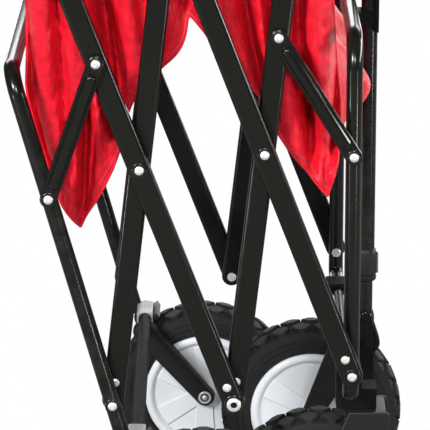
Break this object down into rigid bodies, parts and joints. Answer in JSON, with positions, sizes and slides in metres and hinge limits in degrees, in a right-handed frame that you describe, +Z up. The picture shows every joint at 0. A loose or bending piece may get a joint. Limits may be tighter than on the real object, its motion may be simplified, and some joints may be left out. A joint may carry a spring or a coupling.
{
  "type": "folding wagon with pull handle",
  "caption": "Folding cargo wagon, half folded: scissor sides between end frames, red hanging cloth bag, rear wheels, swivelling front wheels and a telescopic pull handle.",
  "frame": {"origin": "on the ground, under the middle of the bounding box", "axes": "+X forward, to the handle; +Y to the left; +Z up"},
  "size_m": [0.3884, 0.452, 0.737],
  "materials": {
    "black_powder_coat": "satin black powder coat on steel tube",
    "zinc_steel": "bright zinc plate",
    "black_plastic": "moulded, fine matte grain",
    "white_plastic": "moulded, satin",
    "tyre": "blown rubber, matte",
    "red_cloth": "coated polyester weave with a soft sheen"
  },
  "bodies": {
    "front_frame": {"front_frame_tube": "black_powder_coat", "caster_socket_left": "black_powder_coat", "caster_socket_right": "black_powder_coat", "handle_bracket": "black_powder_coat", "handle_pivot_pin": "zinc_steel", "handle_keeper": "black_plastic", "rivet_front_end_left": "zinc_steel", "rivet_front_end_right": "zinc_steel", "bag_end_front": "red_cloth", "bag_front": "red_cloth"},
    "caster_left": {"caster_fork_left": "black_plastic", "caster_axle_bolt_left": "zinc_steel"},
    "caster_right": {"caster_fork_right": "black_plastic", "caster_axle_bolt_right": "zinc_steel"},
    "front_wheel_left": {"front_tyre_left": "tyre", "front_hub_left": "white_plastic"},
    "front_wheel_right": {"front_tyre_right": "tyre", "front_hub_right": "white_plastic"},
    "handle_lower": {"handle_stem": "black_powder_coat"},
    "handle_upper": {"handle_sleeve": "black_powder_coat", "handle_collar": "black_plastic", "handle_grip": "black_plastic"},
    "latch": {"latch_button": "black_plastic"},
    "scissor_3": {"tube_3_left": "black_powder_coat", "tube_3_right": "black_powder_coat", "rivet_front_crossing_left": "zinc_steel", "rivet_front_crossing_right": "zinc_steel", "rivet_top_centre_left": "zinc_steel", "rivet_top_centre_right": "zinc_steel"},
    "scissor_2": {"tube_2_left": "black_powder_coat", "tube_2_right": "black_powder_coat", "rivet_rear_crossing_left": "zinc_steel", "rivet_rear_crossing_right": "zinc_steel", "bag_middle": "red_cloth"},
    "scissor_4": {"tube_4_left": "black_powder_coat", "tube_4_right": "black_powder_coat", "rivet_low_centre_left": "zinc_steel", "rivet_low_centre_right": "zinc_steel"},
    "scissor_1": {"tube_1_left": "black_powder_coat", "tube_1_right": "black_powder_coat"},
    "rear_frame": {"rear_frame_tube": "black_powder_coat", "rear_fork_left": "black_powder_coat", "rear_fork_right": "black_powder_coat", "rear_axle_bolt_left": "zinc_steel", "rear_axle_bolt_right": "zinc_steel", "rivet_rear_end_left": "zinc_steel", "rivet_rear_end_right": "zinc_steel", "bag_end_rear": "red_cloth", "bag_rear": "red_cloth"},
    "rear_wheel_left": {"rear_tyre_left": "tyre", "rear_hub_left": "white_plastic"},
    "rear_wheel_right": {"rear_tyre_right": "tyre", "rear_hub_right": "white_plastic"},
    "rear_links": {"rear_link_left": "black_powder_coat", "rear_link_right": "black_powder_coat"},
    "front_links": {"front_link_left": "black_powder_coat", "front_link_right": "black_powder_coat"}
  },
  "joints": [
    {"name": "fold", "type": "hinge", "parent": "scissor_3", "child": "scissor_2", "pos_m": [-0.0422, 0, 0.68837], "axis": [0, 1, 0], "range_deg": [-12.7, 103.7], "deforming": ["bag_middle"]},
    {"name": "front_end_pivot", "type": "hinge", "parent": "front_frame", "child": "scissor_3", "pos_m": [0.12684, 0, 0.248], "axis": [0, 1, 0], "range_deg": [-45.05, 5.54], "deforming": ["bag_front"]},
    {"name": "front_crossing_pivot", "type": "hinge", "parent": "scissor_3", "child": "scissor_4", "pos_m": [0.04478, 0, 0.46179], "axis": [0, 1, 0], "range_deg": [-12.72, 103.72]},
    {"name": "rear_crossing_pivot", "type": "hinge", "parent": "scissor_2", "child": "scissor_1", "pos_m": [-0.0701, 0, 0.44728], "axis": [0, 1, 0], "range_deg": [-103.72, 12.72]},
    {"name": "rear_end_pivot", "type": "hinge", "parent": "scissor_2", "child": "rear_frame", "pos_m": [-0.09642, 0, 0.2198], "axis": [0, 1, 0], "range_deg": [-45.05, 5.54], "deforming": ["bag_rear"]},
    {"name": "rear_link_pivot", "type": "hinge", "parent": "rear_frame", "child": "rear_links", "pos_m": [-0.15332, 0, 0.4209], "axis": [0, 1, 0], "range_deg": [-11.11, 90.57]},
    {"name": "front_link_pivot", "type": "hinge", "parent": "front_frame", "child": "front_links", "pos_m": [0.12684, 0, 0.457], "axis": [0, 1, 0], "range_deg": [-90.57, 11.11]},
    {"name": "caster_swivel_left", "type": "hinge", "parent": "front_frame", "child": "caster_left", "pos_m": [0.14224, 0.139, 0.204], "axis": [0, 0, 1], "range_deg": [0, 180]},
    {"name": "caster_swivel_right", "type": "hinge", "parent": "front_frame", "child": "caster_right", "pos_m": [0.14224, -0.139, 0.204], "axis": [0, 0, -1], "range_deg": [0, 180]},
    {"name": "front_wheel_spin_left", "type": "hinge", "parent": "caster_left", "child": "front_wheel_left", "pos_m": [0.09994, 0.139, 0.0941], "axis": [0, 1, 0], "continuous": true},
    {"name": "front_wheel_spin_right", "type": "hinge", "parent": "caster_right", "child": "front_wheel_right", "pos_m": [0.09994, -0.139, 0.0941], "axis": [0, 1, 0], "continuous": true},
    {"name": "rear_wheel_spin_left", "type": "hinge", "parent": "rear_frame", "child": "rear_wheel_left", "pos_m": [-0.01159, 0.198, 0.0941], "axis": [0, 1, 0], "continuous": true},
    {"name": "rear_wheel_spin_right", "type": "hinge", "parent": "rear_frame", "child": "rear_wheel_right", "pos_m": [-0.01159, -0.198, 0.0941], "axis": [0, 1, 0], "continuous": true},
    {"name": "handle_fold", "type": "hinge", "parent": "front_frame", "child": "handle_lower", "pos_m": [0.15174, 0, 0.2125], "axis": [0, 1, 0], "range_deg": [0, 95]},
    {"name": "handle_slide", "type": "slide", "parent": "handle_lower", "child": "handle_upper", "axis": [0, 0, 1], "range_m": [0, 0.215]},
    {"name": "latch_press", "type": "slide", "parent": "handle_upper", "child": "latch", "axis": [-1, 0, 0], "range_m": [0, 0.0015], "stiffness_N_per_m": 600, "springref_m": -0.0005}
  ],
  "couplings": [
    {"joint": "front_end_pivot", "follows": "fold", "ratio": -0.4342},
    {"joint": "front_crossing_pivot", "follows": "fold", "ratio": 1},
    {"joint": "rear_crossing_pivot", "follows": "fold", "ratio": -1},
    {"joint": "rear_end_pivot", "follows": "fold", "ratio": -0.4342},
    {"joint": "rear_link_pivot", "follows": "fold", "ratio": 0.8731},
    {"joint": "front_link_pivot", "follows": "fold", "ratio": -0.8731}
  ]
}
